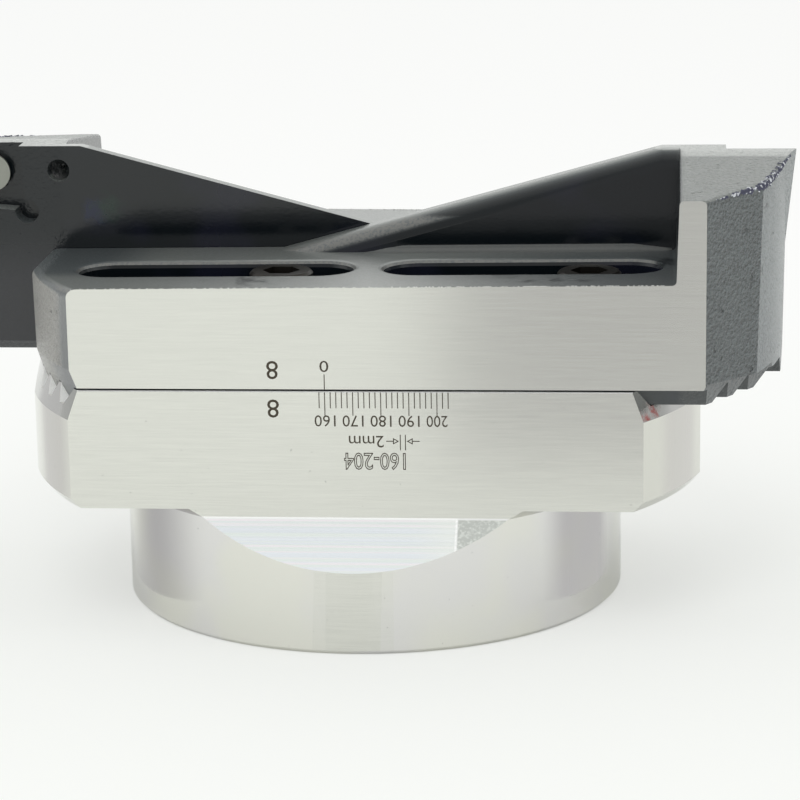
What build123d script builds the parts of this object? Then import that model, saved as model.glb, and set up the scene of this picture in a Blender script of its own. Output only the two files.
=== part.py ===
"""Rough boring head with two serrated cutter slides, standing on its boss.

The frame is millimetres with +Z up. The origin lies on the turning axis, at the boss's flange
face. The front slide travels along +X and the rear slide along -X. The scale reads 160.
"""

import os
from math import cos, degrees, radians, sin, sqrt, tan

from build123d import *

os.makedirs("parts", exist_ok=True)

# Driving dimensions of the body
disc_radius = 64.0
flat_half_width = 38.0
end_half_length = 61.75
disc_underside = 24.35
joint_height = 46.25
boss_radius = 47.0
neck_chamfer = 1.5
crown_chamfer_run = 1.6
crown_chamfer_rise = 5.5
skirt_chamfer_run = 1.4
skirt_chamfer_rise = 1.7
boss_edge_chamfer = 0.8
ramp_top = 22.95
ramp_angle = 40.7

# Driving dimensions of the arbor interface in the boss
pilot_radius = 20.0
pilot_depth = 20.0
pilot_lead_in = 1.0
arbor_bolt_circle = 66.7
arbor_bolt_count = 4
arbor_tap_radius = 5.1
arbor_tap_depth = 17.0
key_pocket_width = 16.0
key_pocket_length = 13.0
key_pocket_depth = 9.0
key_pocket_centre = 33.5
key_pocket_corner = 3.0

# Driving dimensions of the serrations
outer_teeth = 3
tooth_pitch = 5.72
first_tooth_inset = 3.6
inner_tooth_place = 8.75
tooth_depth = 3.2
tooth_tip_width = 1.7
tooth_angle = 60.0
seat_edge_chamfer = 0.2
joint_gap = 0.35
flank_clearance = 0.03

# Driving dimensions of a slide
slide_gap = 0.3
slide_end_radius = 63.5
slide_end_flat = 2.4
slide_end_draft = 2.8
base_thickness = 18.85
base_rise_angle = 0.42
tower_rise = 18.7
tower_front_width = 5.2
tower_draft = 1.8
tower_outer_radius = 77.6
tower_wall_draft = 0.8
tower_corner_run = 10.1
tower_corner_depth = 27.8
flare_height = 15.15
flare_run = 1.6
top_land = 8.3
top_relief_angle = 7.2
rib_thickness = 5.85
rib_shoulder_run = 7.8
rib_end_x = -16.3
rib_root_depth = 1.0
rib_fillet = 3.5
tower_root_fillet = 0.8
tower_edge_round = 0.8
end_edge_round = 1.5
end_chamfer_run = 2.0
end_chamfer_rise = 6.5
tower_relief_inset = 0.3
tower_relief_angle = 56.4
tower_relief_lean = 20.7
tower_relief_rise = 1.0

# Driving dimensions of the clamp screws and their slots
screw_y = 20.0
screw_radius = 4.0
screw_length = 25.0
screw_head_radius = 5.8
screw_head_height = 8.0
screw_head_chamfer = 0.5
screw_socket_across = 6.0
screw_socket_depth = 4.0
screw_top_below_base = 0.9
slot_tower_wall = 2.5
slot_web = 5.8
slot_end_wall = 9.51
screw_past_slot_centre = 12.0
slot_head_clearance = 0.5
slot_shank_clearance = 0.3
slot_rim_round = 1.2
slot_rim_steps = 3
slot_rim_overrun = 0.2
thread_clearance = 0.05
tapped_hole_margin = 2.0

# Driving dimensions of the insert pocket, its screw and the nozzle hole
pocket_depth = 4.76
pocket_inset = 12.4
pocket_drop = 12.4
pocket_lean = 5.0
insert_side = 12.9
pocket_relief_radius = 2.3
insert_screw_radius = 2.5
insert_screw_length = 9.0
insert_head_radius = 3.55
insert_head_cone = 1.6
insert_head_rim = 0.7
insert_socket_radius = 1.7
insert_socket_depth = 1.3
insert_socket_lobes = 6
insert_socket_waist = 1.2
insert_hole_margin = 1.0
nozzle_inset = 6.3
nozzle_drop = 4.65
nozzle_radius = 2.1
nozzle_depth = 4.6
drill_point_angle = 118.0

# Heights, places and limits that follow from them
flank_slope = tan(radians(tooth_angle / 2))
outer_places = [flat_half_width - first_tooth_inset - tooth * tooth_pitch for tooth in range(outer_teeth)]
tooth_places = [*outer_places, inner_tooth_place]
flank_shift = flank_clearance / cos(radians(tooth_angle / 2))
slide_root = joint_height + joint_gap
slide_tip = slide_root - tooth_depth
inner_face = -slide_gap / 2
front_face = -flat_half_width
base_top = slide_root + base_thickness
tower_height = base_top + tower_rise
tower_corner_x = sqrt(tower_outer_radius**2 - tower_corner_depth**2)
tower_front_outer = tower_corner_x - tower_corner_run
tower_inner = tower_front_outer - tower_front_width
rib_shoulder = tower_front_outer - rib_shoulder_run
head_seat = base_top - screw_top_below_base - screw_head_height
slot_half_width = screw_head_radius + slot_head_clearance
shank_slot_half_width = screw_radius + slot_shank_clearance
slide_end_top = slide_end_radius - slide_end_flat
slot_length = (slide_end_top + tower_inner - slot_end_wall - slot_web - slot_tower_wall) / 2
slot_travel = slot_length - 2 * slot_half_width
outer_slot_x = tower_inner - slot_tower_wall - slot_length / 2
inner_slot_x = outer_slot_x - slot_length - slot_web
slot_places = [(inner_slot_x, -screw_y), (outer_slot_x, -screw_y)]
screw_places = [(x + screw_past_slot_centre, y) for x, y in slot_places]
screw_bottom = head_seat - screw_length
tapped_bottom = screw_bottom - tapped_hole_margin
pocket_corner_x = tower_outer_radius - pocket_inset
pocket_corner_z = tower_height - pocket_drop
nozzle_x = pocket_corner_x - nozzle_inset
nozzle_z = tower_height - nozzle_drop
reach = 2 * tower_outer_radius


def rise(run, angle):
    """Height gained over a run by a face that leans at the angle."""
    return run * tan(radians(angle))


def tooth_space(half_width, depth, bottom_half_width, overrun):
    """Trapezoid of one tooth space, mouth on the X axis, carried on past its mouth."""
    widen = overrun * (half_width - bottom_half_width) / depth
    return [
        (half_width + widen, overrun),
        (bottom_half_width, -depth),
        (-bottom_half_width, -depth),
        (-half_width - widen, overrun),
    ]


# Head body: a turned disc and boss, milled to flats, with the serrated seat on top
with BuildPart() as head_body:
    with BuildSketch(Plane.XZ):
        with BuildLine():
            Polyline(
                (0, 0),
                (boss_radius - boss_edge_chamfer, 0),
                (boss_radius, boss_edge_chamfer),
                (boss_radius, disc_underside - neck_chamfer),
                (boss_radius + neck_chamfer, disc_underside),
                (disc_radius - skirt_chamfer_run, disc_underside),
                (disc_radius, disc_underside + skirt_chamfer_rise),
                (disc_radius, joint_height - crown_chamfer_rise),
                (disc_radius - crown_chamfer_run, joint_height),
                (0, joint_height),
                close=True,
            )
        make_face()
    revolve(axis=Axis.Z)

    # End flats
    with BuildSketch(Plane.XY):
        Rectangle(2 * end_half_length, 2 * reach)
    extrude(amount=joint_height, mode=Mode.INTERSECT)

    # Front and back flats, each running out over the boss as an inclined ramp
    with BuildSketch(Plane.YZ):
        for side in (-1, 1):
            with BuildLine():
                Polyline(
                    (side * flat_half_width, joint_height),
                    (side * flat_half_width, ramp_top),
                    (side * reach, ramp_top - rise(reach - flat_half_width, ramp_angle)),
                    (side * reach, joint_height),
                    close=True,
                )
            make_face()
    extrude(amount=reach, both=True, mode=Mode.SUBTRACT)

    # Serrations: a groove along X for each tooth of the slides, with clearance at tip and flank
    groove_bottom = tooth_tip_width / 2 - joint_gap * flank_slope + flank_shift
    groove_mouth = groove_bottom + tooth_depth * flank_slope
    with BuildSketch(Plane.YZ.offset(-reach)):
        for side in (-1, 1):
            with Locations(*[(side * place, joint_height) for place in tooth_places]):
                Polygon(*tooth_space(groove_mouth, tooth_depth, groove_bottom, 1), align=None)
    extrude(amount=2 * reach, mode=Mode.SUBTRACT)
    seat_edges = head_body.edges().filter_by(Axis.X).group_by(Axis.Z)[-1].sort_by(Axis.Y)
    chamfer([seat_edges[0], seat_edges[-1]], seat_edge_chamfer)

    # Tapped holes of the clamp screws
    with BuildSketch(Plane.XY.offset(tapped_bottom)):
        for turn in (1, -1):
            with Locations(*[(turn * x, turn * y) for x, y in screw_places]):
                Circle(screw_radius + thread_clearance)
    extrude(amount=joint_height - tapped_bottom, mode=Mode.SUBTRACT)

    # Arbor interface in the flange face: pilot bore, tapped bolt circle and two key pockets
    with BuildSketch(Plane.XY):
        Circle(pilot_radius)
    extrude(amount=pilot_depth, mode=Mode.SUBTRACT)
    pilot_mouth = head_body.edges().filter_by(GeomType.CIRCLE).filter_by_position(Axis.Z, 0, 0)
    chamfer(pilot_mouth.sort_by(SortBy.RADIUS)[0], pilot_lead_in)
    with BuildSketch(Plane.XY):
        with PolarLocations(arbor_bolt_circle / 2, arbor_bolt_count, start_angle=180 / arbor_bolt_count):
            Circle(arbor_tap_radius)
    extrude(amount=arbor_tap_depth, mode=Mode.SUBTRACT)
    with BuildSketch(Plane.XY):
        with PolarLocations(key_pocket_centre, 2):
            RectangleRounded(key_pocket_length, key_pocket_width, key_pocket_corner)
    extrude(amount=key_pocket_depth, mode=Mode.SUBTRACT)
head_body.part.label = "head_body"


# Waste outside the tower's outer wall: a cone that tapers downwards, and a flare in front of the insert pocket
flare_x = sqrt(tower_outer_radius**2 - pocket_depth**2)
flare_root = Vector(flare_x, -pocket_depth, tower_height - flare_height)
flare_tip = Vector(flare_x + flare_run, -pocket_depth, tower_height)
flare_corner = Vector(tower_corner_x, -tower_corner_depth, tower_height)
flare_up = flare_tip - flare_root
flare_plane = Plane(flare_root, x_dir=flare_up, z_dir=flare_up.cross(flare_corner - flare_root))
with BuildPart() as past_flare:
    with BuildSketch(flare_plane):
        Rectangle(4 * reach, 4 * reach)
    extrude(amount=4 * reach)
    with BuildSketch(Plane.XY.offset(slide_tip)):
        with Locations((0, reach - pocket_depth)):
            Rectangle(4 * reach, 2 * reach)
    extrude(amount=tower_height - slide_tip)

with BuildPart() as tower_waste:
    with BuildSketch(Plane.XZ):
        with BuildLine():
            Polyline(
                (tower_outer_radius - rise(tower_height - slide_tip, tower_wall_draft), slide_tip),
                (tower_outer_radius, tower_height),
                (reach, tower_height),
                (reach, slide_tip),
                close=True,
            )
        make_face()
    revolve(axis=Axis.Z)
    add(past_flare.part, mode=Mode.INTERSECT)

# Waste under the two ends of a slide: a cone at the far end, and the tower's slanted relief
with BuildPart() as far_end_waste:
    with BuildSketch(Plane.XZ):
        with BuildLine():
            Polyline(
                (slide_end_radius - end_chamfer_run, slide_tip),
                (slide_end_radius, slide_tip + end_chamfer_rise),
                (reach, slide_tip + end_chamfer_rise),
                (reach, slide_tip),
                close=True,
            )
        make_face()
    revolve(axis=Axis.Z)
    with BuildSketch(Plane.XY.offset(slide_tip)):
        with Locations((-reach, 0)):
            Rectangle(2 * reach, 4 * reach)
    extrude(amount=end_chamfer_rise, mode=Mode.INTERSECT)

relief_along = Vector(1, 0, 0).rotate(Axis.Z, tower_relief_angle)
relief_out = relief_along.cross(Vector(0, 0, 1))
relief_start = Vector(tower_front_outer - tower_relief_inset, front_face, slide_root)
with BuildPart() as tower_end_waste:
    with BuildSketch(Plane(relief_start, x_dir=relief_out, z_dir=-relief_along)):
        with BuildLine():
            Polyline(
                (-rise(tooth_depth, tower_relief_lean), -tooth_depth),
                (rise(tower_relief_rise, tower_relief_lean), tower_relief_rise),
                (reach, tower_relief_rise),
                (reach, -tooth_depth),
                close=True,
            )
        make_face()
    extrude(amount=reach, both=True)

# Front slide: the front, plan and side outlines, cut to one casting with its rib and tower
with BuildPart() as front_slide:
    with BuildSketch(Plane.XZ.offset(flat_half_width)):
        with BuildLine():
            Polyline(
                (-slide_end_top + rise(base_top - slide_tip, slide_end_draft), slide_tip),
                (reach, slide_tip),
                (reach, tower_height),
                (tower_inner + rise(tower_height - base_top, tower_draft), tower_height),
                (tower_inner, base_top),
                (-slide_end_top, base_top - rise(tower_inner + slide_end_top, base_rise_angle)),
                close=True,
            )
        make_face()
    extrude(amount=-(flat_half_width + inner_face))

    # Rib along the inner face, sloping from the tower's top down into the base
    rib_end_z = base_top - rise(tower_inner - rib_end_x, base_rise_angle)
    rib_slope = (tower_height - rib_end_z) / (rib_shoulder - rib_end_x)
    rib_foot_z = rib_end_z - rib_root_depth
    rib_foot_x = rib_end_x - rib_root_depth / rib_slope
    with BuildSketch(Plane.XZ.offset(-inner_face)):
        with BuildLine():
            Polyline(
                (rib_foot_x, rib_foot_z),
                (rib_shoulder, tower_height),
                (tower_front_outer, tower_height),
                (tower_front_outer, rib_foot_z),
                close=True,
            )
        make_face()
    extrude(amount=rib_thickness)
    rib_face = inner_face - rib_thickness
    rib_edges = front_slide.edges().filter_by_position(Axis.Y, rib_face, rib_face)
    fillet([rib_edges.sort_by(Axis.Z)[0], rib_edges.sort_by(Axis.X)[-1]], rib_fillet)
    tower_root = front_slide.edges().filter_by(Axis.Y)
    fillet(tower_root.filter_by_position(Axis.X, tower_inner, tower_inner), tower_root_fillet)

    # Plan outline: rounded far end, flat front, and the tower's slanted corner
    end_front_x = sqrt(slide_end_radius**2 - flat_half_width**2)
    corner_slope = (flat_half_width - tower_corner_depth) / tower_corner_run
    with BuildSketch(Plane.XY.offset(slide_tip)):
        with BuildLine():
            RadiusArc((-slide_end_radius, 0), (-end_front_x, front_face), -slide_end_radius)
            Polyline(
                (-end_front_x, front_face),
                (tower_front_outer, front_face),
                (tower_front_outer + flat_half_width / corner_slope, 0),
                (-slide_end_radius, 0),
            )
        make_face()
    extrude(amount=tower_height - slide_tip, mode=Mode.INTERSECT)

    # Outer wall: round about the turning axis, flared outwards below the cutting edge
    add(tower_waste.part, mode=Mode.SUBTRACT)

    # End relief: the tower's top falls away in front of a flat land along its inner face
    column_top = tower_height - rise(flat_half_width - top_land, top_relief_angle)
    with BuildSketch(Plane.YZ.offset(-reach)):
        with BuildLine():
            Polyline(
                (0, slide_tip),
                (0, tower_height),
                (-top_land, tower_height),
                (front_face, column_top),
                (front_face, slide_tip),
                close=True,
            )
        make_face()
    extrude(amount=2 * reach, mode=Mode.INTERSECT)

    # Rounded top edges of the tower's inner wall and slanted corner, and of the far end
    relief_edges = front_slide.edges().filter_by_position(Axis.Z, column_top, tower_height, (False, False))
    relief_edges = relief_edges.filter_by_position(Axis.Y, front_face, -top_land, (False, False))
    fillet([relief_edges.sort_by(Axis.X)[0], relief_edges.sort_by(Axis.Y)[0]], tower_edge_round)
    end_edges = front_slide.edges().filter_by_position(Axis.X, -slide_end_radius, -end_front_x)
    fillet(end_edges.filter_by_position(Axis.Z, base_top - 2 * end_edge_round, base_top), end_edge_round)

    # Clamp slots: a wide seat for the screw heads over a narrow slot for their shanks
    with BuildSketch(Plane.XY.offset(head_seat)):
        with Locations(*slot_places):
            SlotCenterToCenter(slot_travel, 2 * slot_half_width)
    extrude(amount=base_thickness, mode=Mode.SUBTRACT)

    # Rounded rims of the slots, turned over in flat steps from the base's top into the walls
    base_tilt = radians(base_rise_angle)
    base_plane = Plane(
        origin=(tower_inner, 0, base_top),
        x_dir=(cos(base_tilt), 0, sin(base_tilt)),
        z_dir=(-sin(base_tilt), 0, cos(base_tilt)),
    )
    step_turn = radians(90 / slot_rim_steps)
    for step in range(slot_rim_steps):
        turned = step * step_turn
        step_lean = turned + step_turn / 2
        step_inset = slot_rim_round * (1 - sin(turned) + (1 - cos(turned)) / tan(step_lean))
        step_depth = slot_rim_round * (1 - cos(turned + step_turn)) + slot_rim_overrun
        with BuildSketch(base_plane):
            with Locations(*[(x - tower_inner, y) for x, y in slot_places]):
                SlotCenterToCenter(slot_travel, 2 * (slot_half_width + step_inset))
        extrude(amount=-step_depth, taper=90 - degrees(step_lean), mode=Mode.SUBTRACT)
    with BuildSketch(Plane.XY.offset(slide_tip)):
        with Locations(*slot_places):
            SlotCenterToCenter(slot_travel, 2 * shank_slot_half_width)
    extrude(amount=head_seat - slide_tip, mode=Mode.SUBTRACT)

    # Serrations: teeth for the body's grooves, left standing under the flat seat
    tooth_root = tooth_tip_width / 2 + tooth_depth * flank_slope
    with BuildSketch(Plane.YZ.offset(-reach)):
        with Locations((0, slide_root)):
            Rectangle(2 * reach, 2 * tooth_depth, align=(Align.CENTER, Align.MAX))
        with Locations(*[(-place, slide_root) for place in tooth_places]):
            tooth = tooth_space(tooth_root, tooth_depth, tooth_tip_width / 2, 1)
            Polygon(*tooth, align=None, mode=Mode.SUBTRACT)
    extrude(amount=2 * reach, mode=Mode.SUBTRACT)
    add(far_end_waste.part, mode=Mode.SUBTRACT)
    add(tower_end_waste.part, mode=Mode.SUBTRACT)

    # Insert pocket: two walls at the insert's corner angle, with a round relief in the corner
    lean_x = cos(radians(90 - pocket_lean))
    lean_z = cos(radians(pocket_lean))
    corner = Vector(pocket_corner_x, pocket_corner_z)
    up_wall = Vector(lean_x, lean_z)
    out_wall = Vector(lean_z, lean_x)
    with BuildSketch(Plane.XZ):
        with BuildLine():
            Polyline(
                corner,
                corner + up_wall * reach,
                corner + (up_wall + out_wall) * reach,
                corner + out_wall * reach,
                close=True,
            )
        make_face()
        with Locations(corner):
            Circle(pocket_relief_radius)
    extrude(amount=pocket_depth, mode=Mode.SUBTRACT)

    # Insert screw's hole and the nozzle hole beside the pocket
    insert_centre = corner + (up_wall + out_wall) * (insert_side / 2)
    insert_hole_depth = insert_screw_length + insert_hole_margin
    with BuildSketch(Plane.XZ.offset(pocket_depth)):
        with Locations(insert_centre):
            Circle(insert_screw_radius + thread_clearance)
    extrude(amount=insert_hole_depth, mode=Mode.SUBTRACT)
    drill_point = nozzle_radius / tan(radians(drill_point_angle / 2))
    with BuildSketch(Plane.XY.offset(nozzle_z)):
        with BuildLine():
            Polyline(
                (nozzle_x, 0),
                (nozzle_x + nozzle_radius, 0),
                (nozzle_x + nozzle_radius, inner_face - nozzle_depth),
                (nozzle_x, inner_face - nozzle_depth - drill_point),
                close=True,
            )
        make_face()
    revolve(axis=Axis((nozzle_x, 0, nozzle_z), (0, 1, 0)), mode=Mode.SUBTRACT)
front_slide.part.label = "front_slide"

# Rear slide: the same casting, turned half a turn about the turning axis
with BuildPart() as rear_slide:
    add(front_slide.part, rotation=(0, 0, 180))
rear_slide.part.label = "rear_slide"

# Clamp screw, drawn with its head's seat at the origin
with BuildPart() as clamp_screw:
    with BuildSketch(Plane.XZ):
        with BuildLine():
            Polyline(
                (0, -screw_length),
                (screw_radius, -screw_length),
                (screw_radius, 0),
                (screw_head_radius, 0),
                (screw_head_radius, screw_head_height - screw_head_chamfer),
                (screw_head_radius - screw_head_chamfer, screw_head_height),
                (0, screw_head_height),
                close=True,
            )
        make_face()
    revolve(axis=Axis.Z)
    with BuildSketch(Plane.XY.offset(screw_head_height)):
        RegularPolygon(screw_socket_across / 2, 6, major_radius=False)
    extrude(amount=-screw_socket_depth, mode=Mode.SUBTRACT)

with BuildPart() as front_inner_screw:
    with Locations((*screw_places[0], head_seat)):
        add(clamp_screw.part)
front_inner_screw.part.label = "front_inner_screw"

with BuildPart() as front_outer_screw:
    with Locations((*screw_places[1], head_seat)):
        add(clamp_screw.part)
front_outer_screw.part.label = "front_outer_screw"

with BuildPart() as rear_inner_screw:
    add(front_inner_screw.part, rotation=(0, 0, 180))
rear_inner_screw.part.label = "rear_inner_screw"

with BuildPart() as rear_outer_screw:
    add(front_outer_screw.part, rotation=(0, 0, 180))
rear_outer_screw.part.label = "rear_outer_screw"

# Insert screw, drawn with the small end of its countersunk head at the origin
insert_head_top = insert_head_cone + insert_head_rim
with BuildPart() as insert_screw:
    with BuildSketch(Plane.XZ):
        with BuildLine():
            Polyline(
                (0, -insert_screw_length),
                (insert_screw_radius, -insert_screw_length),
                (insert_screw_radius, 0),
                (insert_head_radius, insert_head_cone),
                (insert_head_radius, insert_head_top),
                (0, insert_head_top),
                close=True,
            )
        make_face()
    revolve(axis=Axis.Z)
    with BuildSketch(Plane.XY.offset(insert_head_top)):
        lobe_turn = 180 / insert_socket_lobes
        star = []
        for lobe in range(insert_socket_lobes):
            star.append(Vector(insert_socket_radius, 0).rotate(Axis.Z, 2 * lobe * lobe_turn))
            star.append(Vector(insert_socket_waist, 0).rotate(Axis.Z, (2 * lobe + 1) * lobe_turn))
        Polygon(*star, align=None)
    extrude(amount=-insert_socket_depth, mode=Mode.SUBTRACT)

with BuildPart() as front_insert_screw:
    with Locations(Location((insert_centre.X, -pocket_depth, insert_centre.Y), (-90, 0, 0))):
        add(insert_screw.part)
front_insert_screw.part.label = "front_insert_screw"

with BuildPart() as rear_insert_screw:
    add(front_insert_screw.part, rotation=(0, 0, 180))
rear_insert_screw.part.label = "rear_insert_screw"

pieces = [
    head_body,
    front_slide,
    rear_slide,
    front_inner_screw,
    front_outer_screw,
    rear_inner_screw,
    rear_outer_screw,
    front_insert_screw,
    rear_insert_screw,
]
for piece in pieces:
    export_step(piece.part, f"parts/{piece.part.label}.step")
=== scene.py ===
# %% [markdown]
# # Dressing a rough boring head
#
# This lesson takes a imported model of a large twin-cutter boring head and gives it the finish of the real
# tool: a ground and turned steel body, two black-oxide cutter slides with ground front faces, dark clamp
# screws and a laser-marked diameter scale. Everything is in metres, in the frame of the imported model: +Z is
# the turning axis, -Y is the side with the scale, and the front slide travels along +X.

# %% Load the frame
import math
import random

import bmesh
import bpy
from mathutils import Matrix, Vector
from mathutils.bvhtree import BVHTree


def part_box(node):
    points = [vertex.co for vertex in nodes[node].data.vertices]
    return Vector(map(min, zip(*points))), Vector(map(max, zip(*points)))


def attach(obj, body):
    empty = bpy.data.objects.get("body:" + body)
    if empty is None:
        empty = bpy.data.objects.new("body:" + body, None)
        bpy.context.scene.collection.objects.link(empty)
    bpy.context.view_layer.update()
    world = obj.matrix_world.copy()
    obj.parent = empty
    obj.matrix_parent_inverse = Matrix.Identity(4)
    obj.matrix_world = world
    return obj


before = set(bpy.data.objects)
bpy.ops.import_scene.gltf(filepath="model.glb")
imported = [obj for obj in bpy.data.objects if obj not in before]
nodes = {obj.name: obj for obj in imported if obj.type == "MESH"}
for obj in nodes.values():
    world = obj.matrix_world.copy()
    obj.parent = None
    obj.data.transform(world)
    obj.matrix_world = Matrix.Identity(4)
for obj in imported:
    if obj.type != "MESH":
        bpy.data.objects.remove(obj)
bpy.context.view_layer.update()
scene = bpy.context.scene
MM = 0.001
print("nodes", sorted(nodes))

# %% [markdown]
# ## Where the fitting faces lie
#
# The finishes change at real edges of the metal, so the script first measures two places on the packed
# model: the plane of the ground front faces, and the joint between the body and the slides. The masks and
# marks below are built on them.

# %% Measure the frame
flat_y = -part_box("front_slide")[0].y
joint_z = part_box("head_body")[1].z
print("ground faces at", -flat_y, "and", flat_y, "joint at", joint_z)

# %% [markdown]
# ## The camera
#
# The photograph was taken from a little right of the scale side and from above, with a long lens. The camera
# is given by its distance, its two angles, its roll and the point that it looks at, so it can be read and
# checked.

# %% Camera
view_azimuth = math.radians(5.022)
view_elevation = math.radians(14.027)
view_roll = math.radians(-0.975)
view_distance = 578.722 * MM
view_aim = Vector((0.0, 0.0, 35.087 * MM))
view_side_shift = 5.059 * MM
focal_pixels = 3038.513
picture_pixels = 800.0
sensor_width = 36.0

back = Vector((
    math.sin(view_azimuth) * math.cos(view_elevation),
    -math.cos(view_azimuth) * math.cos(view_elevation),
    math.sin(view_elevation),
))
right = Vector((math.cos(view_azimuth), math.sin(view_azimuth), 0.0))
up = back.cross(right)
camera_x = right * math.cos(view_roll) + up * math.sin(view_roll)
camera_y = up * math.cos(view_roll) - right * math.sin(view_roll)

camera_data = bpy.data.cameras.new("camera")
camera_data.sensor_width = sensor_width
camera_data.lens = focal_pixels / picture_pixels * sensor_width
camera = bpy.data.objects.new("camera", camera_data)
stand = Matrix((camera_x, camera_y, back)).transposed().to_4x4()
stand.translation = view_aim + right * view_side_shift + back * view_distance
camera.matrix_world = stand
scene.collection.objects.link(camera)
scene.camera = camera
print("camera at", tuple(round(v, 4) for v in stand.translation), "lens", round(camera_data.lens, 1))

# %% [markdown]
# ## Small helpers for node trees
#
# A material is a graph. These helpers add a node, feed its sockets and return its result, so that the graphs
# below read as a list of what feeds what. A mask is a number from 0 to 1, and masks are joined by plain
# arithmetic: a product where all of them must hold, the largest where one is enough.


# %% Node helpers
mix_sockets = {"FLOAT": ((0, 2, 3), 0), "RGBA": ((0, 6, 7), 2)}


def feed(tree, socket, value):
    """Link a socket to another one, or set it to a number, a vector or a colour."""
    if isinstance(value, bpy.types.NodeSocket):
        tree.links.new(value, socket)
    elif socket.type == "RGBA":
        socket.default_value = (*value, 1.0)
    else:
        socket.default_value = value


def math_node(tree, operation, first, second=None, clamp=False):
    """One step of arithmetic on numbers."""
    node = tree.nodes.new("ShaderNodeMath")
    node.operation = operation
    node.use_clamp = clamp
    feed(tree, node.inputs[0], first)
    if second is not None:
        feed(tree, node.inputs[1], second)
    return node.outputs[0]


def vector_node(tree, operation, first, second):
    """One step of arithmetic on vectors."""
    node = tree.nodes.new("ShaderNodeVectorMath")
    node.operation = operation
    feed(tree, node.inputs[0], first)
    feed(tree, node.inputs["Scale" if operation == "SCALE" else 1], second)
    return node.outputs["Value" if operation == "DISTANCE" else "Vector"]


def mix_node(tree, kind, *values):
    """A blend of two values of one kind. The sockets of each kind have their own numbers on the node."""
    inputs, output = mix_sockets[kind]
    node = tree.nodes.new("ShaderNodeMix")
    node.data_type = kind
    for index, value in zip(inputs, values):
        feed(tree, node.inputs[index], value)
    return node.outputs[output]


def mix_colour(tree, share, first, second):
    """Blend of two colours by a share from 0 to 1."""
    return mix_node(tree, "RGBA", share, first, second)


def mix_value(tree, share, first, second):
    """Blend of two numbers by a share from 0 to 1."""
    return mix_node(tree, "FLOAT", share, first, second)


def three_numbers(tree, vector):
    """The X, Y and Z of a vector, as sockets."""
    node = tree.nodes.new("ShaderNodeSeparateXYZ")
    tree.links.new(vector, node.inputs[0])
    return node.outputs


def smooth_step(tree, value, start, end, out_start, out_end):
    """A smooth change from one level to another, while a value goes from start to end."""
    node = tree.nodes.new("ShaderNodeMapRange")
    node.interpolation_type = "SMOOTHSTEP"
    tree.links.new(value, node.inputs["Value"])
    for name, level in (("From Min", start), ("From Max", end), ("To Min", out_start), ("To Max", out_end)):
        node.inputs[name].default_value = level
    return node.outputs["Result"]


def rise(tree, value, start, end):
    """A mask that goes from 0 at start to 1 at end."""
    return smooth_step(tree, value, start, end, 0.0, 1.0)


def fall(tree, value, start, end):
    """A mask that goes from 1 at start to 0 at end."""
    return smooth_step(tree, value, start, end, 1.0, 0.0)


def both(tree, *masks):
    """Where all the masks hold: their product."""
    result = masks[0]
    for mask in masks[1:]:
        result = math_node(tree, "MULTIPLY", result, mask)
    return result


def either(tree, *masks):
    """Where one of the masks holds: the largest."""
    result = masks[0]
    for mask in masks[1:]:
        result = math_node(tree, "MAXIMUM", result, mask)
    return result


def apart_from(tree, mask):
    """Where a mask doesn't hold."""
    return math_node(tree, "SUBTRACT", 1.0, mask)


def band(tree, value, start, full, last, end):
    """A mask that rises from start to full and falls from last to end."""
    return both(tree, rise(tree, value, start, full), fall(tree, value, last, end))


def size_of(tree, value):
    """A number without its sign."""
    return math_node(tree, "ABSOLUTE", value)


def away_from(tree, value, centre):
    """How far a number lies from a centre, on either side."""
    return size_of(tree, math_node(tree, "SUBTRACT", value, centre))


def times_plus(tree, value, gain, offset):
    """A number times a gain, plus an offset."""
    return math_node(tree, "ADD", math_node(tree, "MULTIPLY", value, gain), offset)


def noise(tree, vector, scale, detail=2.0, roughness=0.5):
    """Soft random value round 0.5 at a scale given in repeats per metre."""
    node = tree.nodes.new("ShaderNodeTexNoise")
    feed(tree, node.inputs["Scale"], scale)
    node.inputs["Detail"].default_value = detail
    node.inputs["Roughness"].default_value = roughness
    tree.links.new(vector, node.inputs["Vector"])
    return node.outputs["Fac"]


# %% [markdown]
# ## Groups and materials
#
# An effect that several finishes share is a node group with named sockets, placed with each one's own values.


# %% Group and material helpers
def new_group(name, inputs, outputs):
    """An empty shader node group with named sockets. Returns its tree, input sockets and output node."""
    tree = bpy.data.node_groups.new(name, "ShaderNodeTree")
    for socket, kind, value in inputs:
        made = tree.interface.new_socket(name=socket, in_out="INPUT", socket_type=kind)
        if value is not None:
            made.default_value = value
    for socket in outputs:
        tree.interface.new_socket(name=socket, in_out="OUTPUT", socket_type="NodeSocketFloat")
    return tree, tree.nodes.new("NodeGroupInput").outputs, tree.nodes.new("NodeGroupOutput").inputs


def place_group(tree, group, **values):
    """A group placed in a material with that material's values. Returns its outputs."""
    node = tree.nodes.new("ShaderNodeGroup")
    node.node_tree = group
    for name, value in values.items():
        feed(tree, node.inputs[name], value)
    return node.outputs


def new_material(name):
    """A material with an empty Principled shader. Returns the material, its tree and the shader."""
    material = bpy.data.materials.new(name)
    material.use_nodes = True
    tree = material.node_tree
    return material, tree, tree.nodes["Principled BSDF"]


def mix_shaders(tree, share, first, second):
    """A blend of two shaders as the surface of a material."""
    node = tree.nodes.new("ShaderNodeMixShader")
    tree.links.new(share, node.inputs[0])
    tree.links.new(first.outputs[0], node.inputs[1])
    tree.links.new(second.outputs[0], node.inputs[2])
    tree.links.new(node.outputs[0], tree.nodes["Material Output"].inputs["Surface"])


def dress(name, material):
    """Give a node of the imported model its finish."""
    nodes[name].data.materials.clear()
    nodes[name].data.materials.append(material)


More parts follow.
